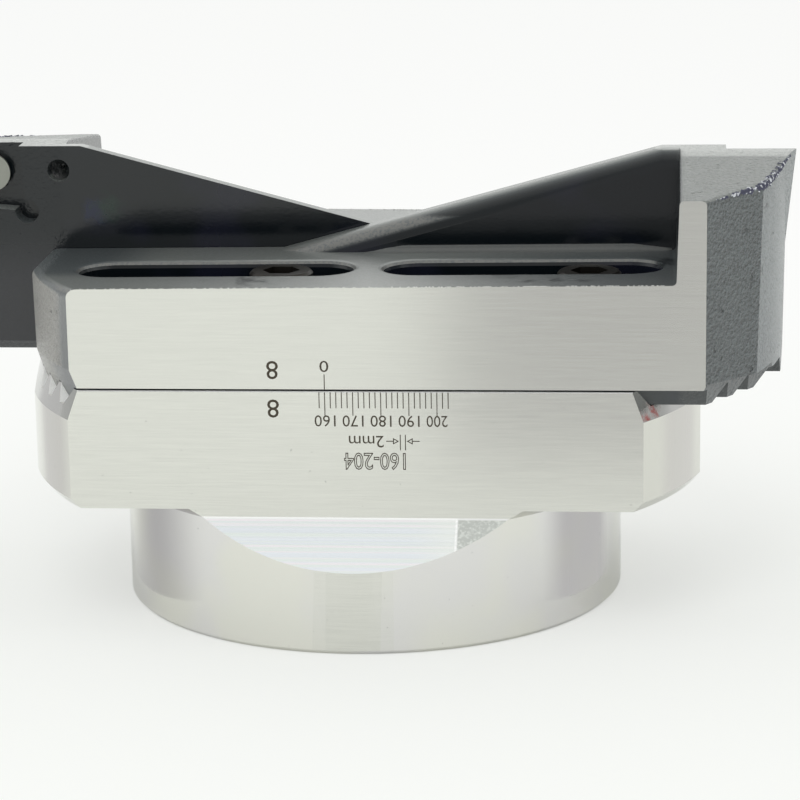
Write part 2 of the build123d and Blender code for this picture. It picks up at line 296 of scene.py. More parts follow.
# %% [markdown]
# ## The studio
#
# The tool stands in a white light tent. Metal is only as good as what it reflects, so the tent matters more
# than any lamp: it is white behind and above, dimmer towards the front, where it stands open, and grey low
# down on both sides. The world is drawn with plain arithmetic on the direction of a ray.

# %% World
tent_white = (0.97, 0.985, 0.965)
front_grey = (0.46, 0.47, 0.465)
front_half_width = math.radians(62.0)
front_edge = math.radians(22.0)
front_top = 0.72
front_top_edge = 0.22
side_grey = (0.60, 0.61, 0.60)
side_start = math.radians(88.0)
side_stop = math.radians(148.0)
side_edge = math.radians(14.0)
side_top = 0.42
side_top_edge = 0.2

world = bpy.data.worlds.new("light_tent")
scene.world = world
world.use_nodes = True
tree = world.node_tree
direction = three_numbers(tree, tree.nodes.new("ShaderNodeTexCoord").outputs["Generated"])
toward_front = math_node(tree, "MULTIPLY", direction["Y"], -1.0)
off_front = size_of(tree, math_node(tree, "ARCTAN2", direction["X"], toward_front))
in_front = both(
    tree,
    fall(tree, off_front, front_half_width - front_edge, front_half_width + front_edge),
    fall(tree, direction["Z"], front_top - front_top_edge, front_top + front_top_edge))
at_side = both(
    tree,
    rise(tree, off_front, side_start - side_edge, side_start + side_edge),
    fall(tree, off_front, side_stop - side_edge, side_stop + side_edge),
    fall(tree, direction["Z"], side_top - side_top_edge, side_top + side_top_edge))
tent = mix_colour(tree, at_side, tent_white, side_grey)
tent = mix_colour(tree, in_front, tent, front_grey)
seen = tree.nodes.new("ShaderNodeLightPath").outputs["Is Camera Ray"]
background = tree.nodes["Background"]
tree.links.new(mix_colour(tree, seen, tent, tent_white), background.inputs["Color"])
background.inputs["Strength"].default_value = 1.0
scene.view_settings.view_transform = "Standard"
print("world", world.name)

# %% [markdown]
# ## The floor
#
# A sheet of pale card. It lies just under the flange face and catches the soft shadow of the disc. Far from
# the tool it grows a little lighter, as the card does where it curves up into the tent. Part of its light is
# a glow of its own, more for the camera than for the metal.


# %% Floor
def flat_sheet(name, corners, material):
    """One flat face of the stage."""
    mesh = bpy.data.meshes.new(name)
    mesh.from_pydata(corners, [], [(0, 1, 2, 3)])
    mesh.materials.append(material)
    sheet = bpy.data.objects.new(name, mesh)
    scene.collection.objects.link(sheet)
    return sheet


floor_half = 3.0
card_near = (0.94, 0.95, 0.93)
card_far = (1.0, 1.0, 0.995)
card_near_y, card_far_y = -0.05, 0.35
card_glow = 0.5
card_glow_in_metal = 0.12

pale_card, tree, shader = new_material("pale_card")
place = three_numbers(tree, tree.nodes.new("ShaderNodeTexCoord").outputs["Object"])
card = mix_colour(tree, rise(tree, place["Y"], card_near_y, card_far_y), card_near, card_far)
tree.links.new(card, shader.inputs["Base Color"])
shader.inputs["Roughness"].default_value = 0.9
shader.inputs["Specular IOR Level"].default_value = 0.0
glow = tree.nodes.new("ShaderNodeEmission")
tree.links.new(card, glow.inputs["Color"])
paths = tree.nodes.new("ShaderNodeLightPath").outputs
in_metal = either(tree, paths["Is Glossy Ray"], paths["Is Transmission Ray"])
in_metal = math_node(tree, "MULTIPLY", in_metal, card_glow_in_metal)
glow_share = either(tree, math_node(tree, "MULTIPLY", paths["Is Camera Ray"], card_glow), in_metal)
mix_shaders(tree, glow_share, shader, glow)
floor = flat_sheet("floor", [
    (-floor_half, -floor_half, 0.0),
    (floor_half, -floor_half, 0.0),
    (floor_half, floor_half, 0.0),
    (-floor_half, floor_half, 0.0),
], pale_card)
print("stage", floor.name)

# %% [markdown]
# ## Grey boards
#
# A photographer holds grey card near polished metal to give it shape. Small boards stand round the tool, and
# only reflections see them: one gives the right half of the ground faces its shade, the low ones put the
# darker bands on the sides of the boss, and the high ones do the same for the disc. Each fades out at both
# sides, so that its mirror image has soft edges.

# %% Boards
# Each has its grey, its faded share, the start and end of its foot, and its lowest and highest z, in mm.
boards = {
    "front_board": (0.60, 0.02, (6.0, -160.0), (90.0, -160.0), 0.0, 200.0),
    "low_left_board": (0.52, 0.5, (-49.0, -44.0), (-55.0, 4.0), 0.0, 22.0),
    "low_right_board": (0.60, 0.3, (52.0, -35.0), (58.0, 4.0), 0.0, 22.0),
    "high_left_board": (0.76, 0.3, (-110.0, -8.0), (-86.3, 22.1), 8.0, 45.0),
    "high_right_board": (0.84, 0.3, (110.0, -8.0), (86.3, 22.1), 8.0, 45.0),
}

for name, (grey, fade, start, end, foot, top) in boards.items():
    board_grey, tree = new_material(name)[:2]
    glow = tree.nodes.new("ShaderNodeEmission")
    feed(tree, glow.inputs["Color"], (grey, grey, grey))
    across = three_numbers(tree, tree.nodes.new("ShaderNodeTexCoord").outputs["Generated"])
    along = across["X" if name == "front_board" else "Y"]
    solid = band(tree, along, 0.0, fade, 1.0 - fade, 1.0)
    mix_shaders(tree, solid, tree.nodes.new("ShaderNodeBsdfTransparent"), glow)
    corners = [(*start, foot), (*end, foot), (*end, top), (*start, top)]
    board = flat_sheet(name, [tuple(part * MM for part in corner) for corner in corners], board_grey)
    board.visible_camera = False
    board.visible_diffuse = False
    board.visible_shadow = False
print("stage", list(boards))

# %% [markdown]
# ## One soft lamp
#
# A broad soft box hangs in front of the tool and above it. It lifts the card in front and lets the shadow of
# the disc fall behind, which is what the sides of the boss then mirror as darker bands.

# %% Soft box
lamp_place = Vector((-0.12, -0.75, 0.85))
lamp_aim = Vector((0.0, 0.0, 0.03))
lamp_width = 0.6
lamp_power = 3.0

lamp_data = bpy.data.lights.new("soft_box", "AREA")
lamp_data.shape = "DISK"
lamp_data.size = lamp_width
lamp_data.energy = lamp_power
lamp = bpy.data.objects.new("soft_box", lamp_data)
lamp.location = lamp_place
lamp.rotation_euler = (lamp_aim - lamp_place).to_track_quat("-Z", "Y").to_euler()
lamp.visible_glossy = False
scene.collection.objects.link(lamp)
print("lamp", lamp.name, "power", lamp_power)

# %% [markdown]
# ## Finishes that several materials share
#
# Ground and milled faces show fine lines along the cut, every handled face has a few nicks, and blackened
# steel is mottled. Each effect is one node group.

# %% Group: cutting lines
cut_lines, given, result = new_group(
    "cut_lines",
    [("Vector", "NodeSocketVector", None),
     ("Spacing", "NodeSocketFloat", 4000.0),
     ("Length", "NodeSocketFloat", 40.0)],
    ["Lines"],
)
stretch = cut_lines.nodes.new("ShaderNodeCombineXYZ")
for axis, socket in (("X", "Length"), ("Y", "Length"), ("Z", "Spacing")):
    cut_lines.links.new(given[socket], stretch.inputs[axis])
drawn = vector_node(cut_lines, "MULTIPLY", given["Vector"], stretch.outputs[0])
cut_lines.links.new(noise(cut_lines, drawn, 1.0, detail=3.0, roughness=0.6), result["Lines"])
print("group", cut_lines.name)

# %% Group: nicks
nick_sharpness = 18.0

nicks, given, result = new_group(
    "nicks",
    [("Vector", "NodeSocketVector", None),
     ("Scale", "NodeSocketFloat", 700.0),
     ("Rarity", "NodeSocketFloat", 0.72)],
    ["Mask"],
)
field = noise(nicks, given["Vector"], given["Scale"], detail=1.0)
above = math_node(nicks, "SUBTRACT", field, given["Rarity"])
nicks.links.new(math_node(nicks, "MULTIPLY", above, nick_sharpness, clamp=True), result["Mask"])
print("group", nicks.name)

# %% Group: mottle
grain_times = 40.0

mottle, given, result = new_group(
    "mottle",
    [("Vector", "NodeSocketVector", None), ("Scale", "NodeSocketFloat", 60.0)],
    ["Clouds", "Grain"],
)
for socket, times, detail in (("Clouds", 1.0, 2.0), ("Grain", grain_times, 3.0)):
    scale = math_node(mottle, "MULTIPLY", given["Scale"], times)
    mottle.links.new(noise(mottle, given["Vector"], scale, detail), result[socket])
print("group", mottle.name)

# %% [markdown]
# ## Where a point lies
#
# One solid has several finishes, so a material has to know where on the metal it is. It reads the object's
# own coordinates and the direction of the face, and a soft spot with a wandering outline marks a place.


# %% Places on the metal
spot_wander = 420.0
spot_raggedness = 2.5


def own_coordinates(tree):
    """The object's own coordinates, in metres."""
    return tree.nodes.new("ShaderNodeTexCoord").outputs["Object"]


def face_direction(tree, kind):
    """The direction of the face as three numbers: its True Normal, or the smoothed Normal."""
    return three_numbers(tree, tree.nodes.new("ShaderNodeNewGeometry").outputs[kind])


def near_point(tree, vector, point, reach):
    """A soft spot round a point, both in millimetres, with a wandering outline."""
    distance = vector_node(tree, "DISTANCE", vector, tuple(part * MM for part in point))
    wander = math_node(tree, "SUBTRACT", noise(tree, vector, spot_wander, detail=3.0), 0.5)
    wander = math_node(tree, "MULTIPLY", wander, spot_raggedness * reach * MM)
    return fall(tree, math_node(tree, "ADD", distance, wander), 0.0, reach * MM)


# %% [markdown]
# ## Ground and turned steel
#
# The body is one piece of bright steel: flats ground along X, a disc and a boss turned almost to a mirror,
# and ramps left by the milling cutter. All three are the same bare metal, so one material holds them, and the
# direction of each face says which cutter made it. The flanks of the serrations and the chamfer along the
# joint are rougher, and catch the light: their colour is raised to near white as a painted highlight.

# %% Faces of the body
flat_facing = (0.985, 0.999)
crown_facing = (0.2, 0.25, 0.35, 0.4)
upward_facing = (0.4, 0.45)
ramp_tilt = math.radians(40.7)
ramp_facing = (0.01, 0.02)
flank_tilt = math.radians(30.0)
flank_facing = (0.02, 0.04)
seat_edge = 0.3 * MM
seat_edge_blend = 0.05 * MM

ground_steel, tree, shader = new_material("ground_steel")
vector = own_coordinates(tree)
place = three_numbers(tree, vector)
facing = face_direction(tree, "True Normal")
sideways = size_of(tree, facing["Y"])
flat_mask = rise(tree, sideways, *flat_facing)
crown_mask = band(tree, facing["Z"], *crown_facing)
ramp_mask = fall(tree, away_from(tree, facing["Z"], math.cos(ramp_tilt)), *ramp_facing)
upward = rise(tree, facing["Z"], *upward_facing)
flank = both(tree, upward, fall(tree, away_from(tree, sideways, math.cos(flank_tilt)), *flank_facing))
chamfer = both(
    tree, upward,
    rise(tree, place["Z"], joint_z - seat_edge, joint_z - seat_edge + seat_edge_blend),
    rise(tree, size_of(tree, place["Y"]), flat_y - seat_edge - seat_edge_blend, flat_y - seat_edge))
light_edge = either(tree, flank, chamfer)
print("body masks", len(tree.nodes))

# %% Colours of the body
ground_colour = (0.715, 0.715, 0.672)
turned_warm = (0.775, 0.77, 0.72)
turned_cool = (0.755, 0.745, 0.74)
turned_clouds = (0.4, 0.62)
disc_painted_shade = 0.9
crown_colour = (0.54, 0.54, 0.525)
# painted highlight: the flanks and the joint chamfer get a near-white colour for the light they catch
groove_highlight_colour = (0.97, 0.97, 0.96)
ramp_top = 22.95 * MM
disc_blend = 1.0 * MM

cloud = place_group(tree, mottle, Vector=vector, Scale=45.0)
turned = mix_colour(tree, rise(tree, cloud["Clouds"], *turned_clouds), turned_warm, turned_cool)
above_boss = rise(tree, place["Z"], ramp_top, ramp_top + disc_blend)
# painted shade: above the boss, the disc takes the warm colour a tenth darker than the boss
turned = mix_colour(tree, above_boss, turned, tuple(disc_painted_shade * part for part in turned_warm))
base = mix_colour(tree, flat_mask, turned, ground_colour)
base = mix_colour(tree, crown_mask, base, crown_colour)
base = mix_colour(tree, light_edge, base, groove_highlight_colour)
print("body colours", len(tree.nodes))

# %% [markdown]
# ## The milled ramp
#
# Each ramp was cut by a face mill. Its fine lines split light into faint pink, green and blue, so three tints
# alternate along noise that is stretched in the direction of the cut. The right end of the ramp was galled by
# a tool: past a bright line the lines give way to a dull grain. The top edge of the ramp is painted white as
# a painted highlight.

# %% Milled ramp
ramp_pink = (0.875, 0.83, 0.865)
ramp_green = (0.81, 0.865, 0.84)
ramp_blue = (0.80, 0.83, 0.875)
green_lines = (0.4, 0.6)
blue_lines = (0.45, 0.6)
ramp_edge_width = 0.35 * MM
galled_from = 18.3 * MM
galled_line_width = 0.35 * MM
galled_dark = (0.64, 0.66, 0.635)
galled_light = (0.86, 0.88, 0.855)
galled_grain = (0.42, 0.75)
dulled_from = 9.0 * MM
dulled_share = 0.75
line_and_edge_highlight = (1.0, 1.0, 1.0)

wide = place_group(tree, cut_lines, Vector=vector, Spacing=3100.0, Length=5.0)["Lines"]
wider = place_group(tree, cut_lines, Vector=vector, Spacing=1500.0, Length=3.0)["Lines"]
milled = mix_colour(tree, rise(tree, wide, *green_lines), ramp_pink, ramp_green)
milled = mix_colour(tree, rise(tree, wider, *blue_lines), milled, ramp_blue)
dulled = math_node(tree, "MULTIPLY", rise(tree, place["X"], dulled_from, galled_from), dulled_share)
milled = mix_colour(tree, dulled, milled, galled_light)
galled_mask = rise(tree, place["X"], galled_from, galled_from + galled_line_width)
galled = mix_colour(tree, rise(tree, cloud["Grain"], *galled_grain), galled_dark, galled_light)
milled = mix_colour(tree, galled_mask, milled, galled)
# painted highlight: a white band along the top edge of the ramp; the bright line at the galled part takes the
# same white
bright_line = fall(tree, away_from(tree, place["X"], galled_from), 0.0, galled_line_width)
ramp_edge_highlight = rise(tree, place["Z"], ramp_top - ramp_edge_width, ramp_top - ramp_edge_width / 2)
milled = mix_colour(tree, either(tree, bright_line, ramp_edge_highlight), milled, line_and_edge_highlight)
base = mix_colour(tree, ramp_mask, base, milled)
print("milled ramp", len(tree.nodes))

# %% [markdown]
# ## Lines, nicks and paint
#
# Grinding leaves faint lines on the flats, and use leaves a few dark nicks. A smear of red marking paint is
# left on the crown, beside the front slide. Paint is no metal, so it also lowers Metallic.

# %% Marks of use on the body
line_depth = 0.22
nick_depth = 0.3
paint_red = (0.36, 0.055, 0.05)
paint_places = ((51.6, -36.6, 41.4), (53.2, -34.6, 41.9))
paint_reach = 2.4
paint_grain = (0.28, 0.6)
crown_foot = joint_z - 5.5 * MM
crown_foot_blend = 0.2 * MM
turned_rough, ground_rough, galled_rough, edge_rough, paint_rough = 0.10, 0.24, 0.45, 0.55, 0.5
milled_rough_gain, milled_rough_least = 0.4, 0.05

fine = place_group(tree, cut_lines, Vector=vector, Spacing=5000.0, Length=120.0)["Lines"]
nick = place_group(tree, nicks, Vector=vector, Scale=1300.0, Rarity=0.775)["Mask"]
lines = both(tree, flat_mask, math_node(tree, "SUBTRACT", fine, 0.5))
nicked = both(tree, nick, apart_from(tree, ramp_mask))
nicked = math_node(tree, "MULTIPLY", nicked, nick_depth)
shade = math_node(tree, "SUBTRACT", times_plus(tree, lines, line_depth, 1.0), nicked)
shaded = vector_node(tree, "SCALE", base, shade)
smears = [near_point(tree, vector, point, paint_reach) for point in paint_places]
paint = both(
    tree, either(tree, *smears), rise(tree, cloud["Grain"], *paint_grain),
    rise(tree, place["Z"], crown_foot, crown_foot + crown_foot_blend), apart_from(tree, flat_mask))
tree.links.new(mix_colour(tree, paint, shaded, paint_red), shader.inputs["Base Color"])
tree.links.new(apart_from(tree, paint), shader.inputs["Metallic"])
rough = mix_value(tree, flat_mask, turned_rough, ground_rough)
milled_rough = times_plus(tree, wide, milled_rough_gain, milled_rough_least)
rough = mix_value(tree, ramp_mask, rough, mix_value(tree, galled_mask, milled_rough, galled_rough))
rough = mix_value(tree, light_edge, rough, edge_rough)
tree.links.new(mix_value(tree, paint, rough, paint_rough), shader.inputs["Roughness"])
dress("head_body", ground_steel)
print("body", ground_steel.name, len(tree.nodes), "nodes")

# %% [markdown]
# ## Black oxide on the slides
#
# The slides are castings with a thin, oiled black oxide. It is nearly black face on, and a clear grey where
# the tent glances off it. Two layers do that: a dark base, and the oil as a coat on the open faces. The
# sheltered faces, such as the rib and the inner wall, have been wiped and have no coat. The front face was
# ground after the blackening, so it is bare metal again: a mask picks out the points that lie in its plane.
# Both slides share the material, and the outward side of each is found from the sign of X.

# %% Faces of the slides
plane_blend = (0.03 * MM, 0.01 * MM)
plane_facing = (0.98, 0.99)
end_facing_out = (0.78, 0.86)
end_from, end_full = 52.0 * MM, 53.0 * MM
pebbled_from, pebbled_full = 57.0 * MM, 59.0 * MM
low_last, low_stop = 71.0 * MM, 72.0 * MM
upright_facing = (0.2, 0.4)
slot_end, slot_reach = 54.8 * MM, 29.5 * MM
slot_blend = 0.5 * MM
rib_front_from, rib_front_full = 3.5 * MM, 5.5 * MM
shelter_facing = (0.75, 0.95)

black_slide, tree, shader = new_material("black_slide")
vector = own_coordinates(tree)
place = three_numbers(tree, vector)
facing = face_direction(tree, "True Normal")
smooth = face_direction(tree, "Normal")
far_out = size_of(tree, place["X"])
depth = size_of(tree, place["Y"])
ground_mask = both(
    tree, rise(tree, depth, *(flat_y - part for part in plane_blend)),
    rise(tree, size_of(tree, facing["Y"]), *plane_facing))
oxide_mask = apart_from(tree, ground_mask)
outward = math_node(tree, "MULTIPLY", smooth["X"], math_node(tree, "SIGN", place["X"]))
end_mask = both(tree, rise(tree, outward, *end_facing_out), rise(tree, far_out, end_from, end_full))
pebbled = either(tree, rise(tree, far_out, pebbled_from, pebbled_full), end_mask)
low = fall(tree, place["Z"], low_last, low_stop)
high = apart_from(tree, low)
upright = fall(tree, size_of(tree, smooth["Z"]), *upright_facing)
in_slot = both(
    tree, upright, fall(tree, far_out, slot_end, slot_end + slot_blend),
    fall(tree, depth, slot_reach, slot_reach + slot_blend))
rib_front = both(
    tree, high, apart_from(tree, pebbled), rise(tree, depth, rib_front_from, rib_front_full))
shelter = either(tree, rise(tree, size_of(tree, smooth["Y"]), *shelter_facing), in_slot, rib_front)
open_mask = apart_from(tree, shelter)
print("slide masks", len(tree.nodes))

# %% [markdown]
# ## Wiped oxide
#
# The sheltered faces are almost black, with a violet sheen in clouds. The lower end of the inner wall grows
# lighter towards the bottom, and two spots show the blue and green of a thinner film.

# %% Wiped oxide
oxide_colour = (0.005, 0.0075, 0.0095)
oxide_sheen = (0.010, 0.0115, 0.021)
sheen_clouds = (0.5, 0.66)
# a lighter grey for the lower end of the inner wall at the far end, towards the bottom
lighter_low_oxide = (0.031, 0.032, 0.036)
lighter_low_full, lighter_low_to = 56.0 * MM, 70.0 * MM
blue_film, green_film = (0.006, 0.011, 0.036), (0.006, 0.021, 0.015)
film_reach = 3.4
film_spots = (((-52.0, 0.2, 71.8), blue_film), ((-49.3, 0.2, 72.6), green_film))

cloud = place_group(tree, mottle, Vector=vector, Scale=55.0)
wiped = mix_colour(tree, rise(tree, cloud["Clouds"], *sheen_clouds), oxide_colour, oxide_sheen)
lighter_low = both(tree, pebbled, fall(tree, place["Z"], lighter_low_full, lighter_low_to))
wiped = mix_colour(tree, lighter_low, wiped, lighter_low_oxide)
for point, film in film_spots:
    wiped = mix_colour(tree, near_point(tree, vector, point, film_reach), wiped, film)
print("wiped oxide", len(tree.nodes))

# %% [markdown]
# ## Open oxide
#
# The open faces are greyer. Faces that look up are painted lighter, as painted light from the tent above,
# apart from the right half of the base and a patch at its left end, which keep the darker grey. The land on
# top of each tower is rubbed lighter, the low end faces of the slide are painted lighter as painted light,
# and a few smudges of oil lie on the base.

# %% Open oxide
open_oxide_dark = (0.050, 0.059, 0.062)
open_oxide_light = (0.078, 0.089, 0.092)
# painted light: faces that look up get this lighter grey for the light of the tent above
painted_top_light = (0.145, 0.156, 0.15)
top_facing, tower_top_facing = (0.8, 0.95), (0.42, 0.56)
top_light_off_from, top_light_off_full = 4.0 * MM, 48.0 * MM
left_end_patch_full_x, left_end_patch_to_x = -50.0 * MM, -36.0 * MM
left_end_patch_from_y, left_end_patch_full_y = -29.0 * MM, -22.0 * MM
# painted light: the low end faces of the slide get a lighter grey for the light they catch
low_end_painted_light = (0.108, 0.105, 0.097)
low_end_last, low_end_stop = 64.0 * MM, 66.0 * MM
land_oxide = (0.37, 0.38, 0.37)
land_from, land_full = 83.7 * MM, 83.9 * MM
smudge_grain = (0.34, 0.5)
smudges = (
    ((-19.0, -31.6, 65.4), 4.6),
    ((26.4, -28.8, 65.4), 3.2),
    ((31.2, -33.1, 65.4), 1.9),
    ((35.8, -32.2, 65.4), 2.4),
    ((40.6, -33.0, 65.4), 2.2),
    ((55.0, -17.0, 65.2), 6.5),
)

skin = mix_colour(tree, cloud["Clouds"], open_oxide_dark, open_oxide_light)
tower_top = both(tree, high, pebbled, rise(tree, smooth["Z"], *tower_top_facing))
topside = either(tree, rise(tree, smooth["Z"], *top_facing), tower_top)
left_end_patch = both(
    tree, fall(tree, place["X"], left_end_patch_full_x, left_end_patch_to_x),
    rise(tree, place["Y"], left_end_patch_from_y, left_end_patch_full_y))
# the right half of the base and the patch at its left end keep the darker grey, without the painted top light
top_light_left_off = both(tree, low, either(tree, rise(tree, place["X"], top_light_off_from, top_light_off_full), left_end_patch))
skin = mix_colour(tree, both(tree, topside, apart_from(tree, top_light_left_off)), skin, painted_top_light)
# painted light: the low end faces take the lighter grey
low_end = both(tree, end_mask, fall(tree, far_out, low_end_last, low_end_stop))
skin = mix_colour(tree, low_end, skin, low_end_painted_light)
land = both(tree, topside, rise(tree, place["Z"], land_from, land_full))
skin = mix_colour(tree, land, skin, land_oxide)
smudged = either(tree, *[near_point(tree, vector, point, reach) for point, reach in smudges])
smudged = both(tree, smudged, rise(tree, cloud["Grain"], *smudge_grain))
skin = mix_colour(tree, smudged, skin, oxide_colour)
print("open oxide", len(tree.nodes))

# %% [markdown]
# ## Pebbles of the mould
#
# The tower and the far end keep the pebbled skin of the sand mould, with a few pits. The same noise gives the
# relief and the colour: hollows stay dark, and each pebble is painted lighter on its upper left side and
# darker on the other, as painted light falling from the upper left. That side is found by comparing the noise
# with itself a fraction of a millimetre away.

# %% Pebbles
pebbles_per_metre, pebble_detail, pebble_roughness = 1500.0, 3.0, 0.55
pits_per_metre = 560.0
pit_levels = (0.68, 0.76)
hollow_levels = (0.36, 0.56)
hollow_on_smooth = 0.25
# painted light: the shift points up and to the left, where the painted light on the pebbles comes from
light_side_shift = (-0.11 * MM, -0.11 * MM, 0.22 * MM)
relief_light_gain, relief_light_gain_at_end, relief_light_least = 3.2, 0.7, 0.4
# painted light: the last number makes the end faces twice as light, for the light they catch
pebble_lift, hollow_lift, end_face_painted_light = 1.4, 1.12, 2.0

pebbles = noise(tree, vector, pebbles_per_metre, pebble_detail, pebble_roughness)
beside = vector_node(tree, "ADD", vector, light_side_shift)
beside = noise(tree, beside, pebbles_per_metre, pebble_detail, pebble_roughness)
# painted light: the difference is light on one side of each pebble and dark on the other
relief_painted_light = math_node(tree, "SUBTRACT", pebbles, beside)
relief_painted_light = both(tree, relief_painted_light, pebbled, upright, mix_value(tree, end_mask, relief_light_gain, relief_light_gain_at_end))
relief_painted_light = math_node(tree, "MAXIMUM", math_node(tree, "ADD", relief_painted_light, 1.0), relief_light_least)
pits = rise(tree, noise(tree, vector, pits_per_metre), *pit_levels)
hollow = either(tree, pits, fall(tree, pebbles, *hollow_levels))
hollow = both(tree, hollow, mix_value(tree, pebbled, hollow_on_smooth, 1.0), oxide_mask)
lift = mix_value(tree, hollow, mix_value(tree, pebbled, 1.0, pebble_lift), hollow_lift)
lift = both(tree, lift, relief_painted_light, mix_value(tree, end_mask, 1.0, end_face_painted_light))
skin = vector_node(tree, "SCALE", skin, lift)
print("pebbles", len(tree.nodes))

# %% [markdown]
# ## Worn and highlighted edges, painted glint and bare metal
#
# The rounded rims of the slots are worn to a warm grey, which is also a painted highlight where they face up
# at a slant. The wall of the coolant outlet is painted a light grey as a painted glint, and the ground face
# shows the fine lines of the wheel.

# %% Worn and highlighted edges, painted glint and bare metal
# partly wear and partly painted highlight: a warm grey on low rims that face up at a slant
worn_highlight_oxide = (0.125, 0.124, 0.116)
worn_highlight_facing = (0.4, 0.62, 0.85, 0.97)
worn_highlight_grain = (0.3, 0.6)
worn_highlight_last, worn_highlight_stop = 53.0 * MM, 54.0 * MM
ground_line_gain, ground_line_least = 0.16, 0.92
outlet_x, outlet_y, outlet_z = 60.0, -4.1, 77.8
outlet_reach = 1.5
outlet_painted_glint = (0.88, 0.87, 0.88)

worn_highlight = both(
    tree, band(tree, smooth["Z"], *worn_highlight_facing), low, rise(tree, cloud["Grain"], *worn_highlight_grain),
    fall(tree, far_out, worn_highlight_last, worn_highlight_stop))
base = mix_colour(tree, worn_highlight, mix_colour(tree, open_mask, wiped, skin), worn_highlight_oxide)
# painted glint: a light, non-metallic spot on the wall of each coolant outlet
outlets = [(side * outlet_x, side * outlet_y, outlet_z) for side in (1, -1)]
outlet_glint = either(tree, *[near_point(tree, vector, point, outlet_reach) for point in outlets])
base = mix_colour(tree, outlet_glint, base, outlet_painted_glint)
fine = place_group(tree, cut_lines, Vector=vector, Spacing=5000.0, Length=120.0)["Lines"]
line_shade = times_plus(tree, fine, ground_line_gain, ground_line_least)
lined = vector_node(tree, "SCALE", ground_colour, line_shade)
tree.links.new(mix_colour(tree, ground_mask, base, lined), shader.inputs["Base Color"])
tree.links.new(ground_mask, shader.inputs["Metallic"])
print("worn edges", len(tree.nodes))

# %% [markdown]
# ## Gloss and relief of the slides
#
# The wiped faces are smooth, the open ones dull under their oil. One Bump node turns the pebbles into relief,
# for the oxide and for the oil on it alike.

# %% Skin of the casting
wiped_rough = 0.12
open_rough_gain, open_rough_least = 0.2, 0.3
smudged_coat, hollow_coat = 0.1, 0.8
pebble_height = 0.9 * MM
relief_on_smooth, relief_on_wiped = 0.12, 0.1

open_rough = times_plus(tree, cloud["Grain"], open_rough_gain, open_rough_least)
rough = mix_value(tree, open_mask, wiped_rough, open_rough)
tree.links.new(mix_value(tree, ground_mask, rough, ground_rough), shader.inputs["Roughness"])
oil = both(
    tree, open_mask, mix_value(tree, smudged, 1.0, smudged_coat),
    mix_value(tree, hollow, 1.0, hollow_coat))
tree.links.new(oil, shader.inputs["Coat Weight"])
shader.inputs["Coat Roughness"].default_value = 0.27
bump = tree.nodes.new("ShaderNodeBump")
bump.inputs["Distance"].default_value = pebble_height
relief = both(
    tree, mix_value(tree, pebbled, relief_on_smooth, 1.0), mix_value(tree, open_mask, relief_on_wiped, 1.0),
    oxide_mask)
tree.links.new(relief, bump.inputs["Strength"])
tree.links.new(math_node(tree, "SUBTRACT", pebbles, pits), bump.inputs["Height"])
for socket in ("Normal", "Coat Normal"):
    tree.links.new(bump.outputs[0], shader.inputs[socket])
for name in ("front_slide", "rear_slide"):
    dress(name, black_slide)
print("slides", black_slide.name, len(tree.nodes), "nodes")

# %% [markdown]
# ## Screws
#
# The clamp screws are dark, oily steel with a brownish rim, and the small screws in the empty insert seats
# are plain. The two differ only in colours, gloss and how metallic they are.

# %% Screw finishes
screw_finishes = {
    "dark_screw": ((0.010, 0.009, 0.008), (0.034, 0.030, 0.025), 0.22, 0.42, 0.6),
    "plain_screw": ((0.26, 0.265, 0.235), (0.36, 0.365, 0.33), 0.28, 0.45, 1.0),
}
made = {}
for name, (dark, light, glossy, dull, metallic) in screw_finishes.items():
    made[name], tree, shader = new_material(name)
    clouds = place_group(tree, mottle, Vector=own_coordinates(tree), Scale=160.0)["Clouds"]
    tree.links.new(mix_colour(tree, clouds, dark, light), shader.inputs["Base Color"])
    tree.links.new(mix_value(tree, clouds, glossy, dull), shader.inputs["Roughness"])
    shader.inputs["Metallic"].default_value = metallic

for name in nodes:
    if name.endswith("insert_screw"):
        dress(name, made["plain_screw"])
    elif name.endswith("_screw"):
        dress(name, made["dark_screw"])
print("screws", list(made))

# %% [markdown]
# ## The diameter scale
#
# Each slide carries a zero line, and the body below it a scale of diameters: a tick for every 2 mm of
# diameter, so the ticks stand 1 mm apart. On the real head they are burnt in by a laser, upside down as the
# head stands here, so that they read upright when it hangs in a spindle. They have next to no depth, and they
# have to be crisp at any distance, so each mark is a thin piece of its own on the metal. The text comes from
# Blender's own font, fitted to the real height and width of each word. The back of the head carries the same
# scale for the other slide.

# %% Laser mark finish
burnt_dark = (0.022, 0.016, 0.009)
burnt_light = (0.075, 0.058, 0.034)

laser_mark, tree, shader = new_material("laser_mark")
burn = place_group(tree, mottle, Vector=own_coordinates(tree), Scale=120.0)["Grain"]
tree.links.new(mix_colour(tree, burn, burnt_dark, burnt_light), shader.inputs["Base Color"])
shader.inputs["Roughness"].default_value = 0.6
print("marks", laser_mark.name)


# %% Adding a piece
def add_piece(name, body, sheet, material, turned):
    """A finished piece that rides on a body, at the front or turned to the back of the head."""
    mesh = bpy.data.meshes.new(name)
    sheet.to_mesh(mesh)
    sheet.free()
    if turned:
        mesh.transform(Matrix.Rotation(math.pi, 4, "Z"))
    mesh.materials.append(material)
    piece = bpy.data.objects.new(name, mesh)
    scene.collection.objects.link(piece)
    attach(piece, body)
    print(name, len(mesh.polygons), "faces")


# %% Drawing marks
mark_depth = 0.012 * MM
mark_weld = 0.001 * MM
stroke_width = 0.17 * MM
letter_extrude = 0.05
letter_resolution = 3
outline_radius = 0.022


